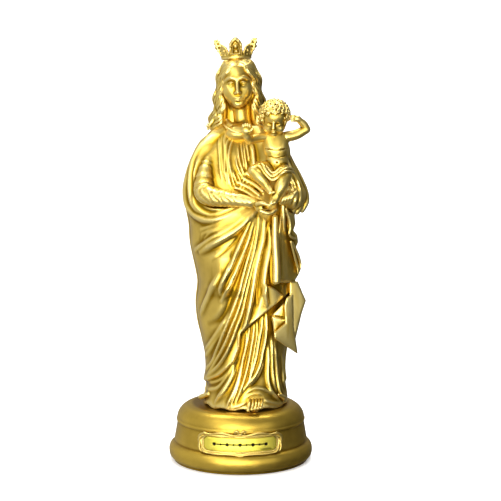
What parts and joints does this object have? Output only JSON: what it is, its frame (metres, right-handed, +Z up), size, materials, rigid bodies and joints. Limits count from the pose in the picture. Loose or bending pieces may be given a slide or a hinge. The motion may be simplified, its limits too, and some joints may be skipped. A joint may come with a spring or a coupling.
{
  "type": "madonna statue",
  "caption": "Gilded devotional statuette of a crowned standing mother in draped robes carrying a child on one arm, on a round stepped plinth with a label, for shelf or altar display.",
  "frame": {"origin": "centre of the plinth's footprint, on the surface that the statue stands on", "axes": "+Z up, the statue faces -Y, and +X is towards the arm that carries the child"},
  "size_m": [0.1036, 0.088, 0.2998],
  "materials": {
    "gilt": "cast resin under satin gold paint, bright on the high folds and brown in the recesses",
    "gilt_plinth": "cast resin under satin gold paint, slightly duller than the figure",
    "label_brass": "bright yellow lacquered plate",
    "felt": "matt dark green felt",
    "steel": "plain steel pin or fixing"
  },
  "bodies": {
    "root": {"plinth": "gilt_plinth", "felt_base": "felt", "label_plate": "label_brass", "label_surround": "gilt_plinth", "figure": "gilt", "head": "gilt", "crown": "gilt", "right_hand": "gilt", "left_hand": "gilt", "child_body": "gilt", "child_head": "gilt", "child_right_arm": "gilt", "child_left_arm": "gilt", "anchor_stud": "steel", "anchor_nut": "steel", "anchor_washer": "steel", "neck_dowel": "steel", "crown_pin": "steel", "right_hand_pin": "steel", "left_hand_pin": "steel", "child_seat_pin": "steel", "child_back_pin": "steel", "child_neck_pin": "steel", "child_right_arm_pin": "steel", "child_left_arm_pin": "steel"}
  },
  "joints": []
}
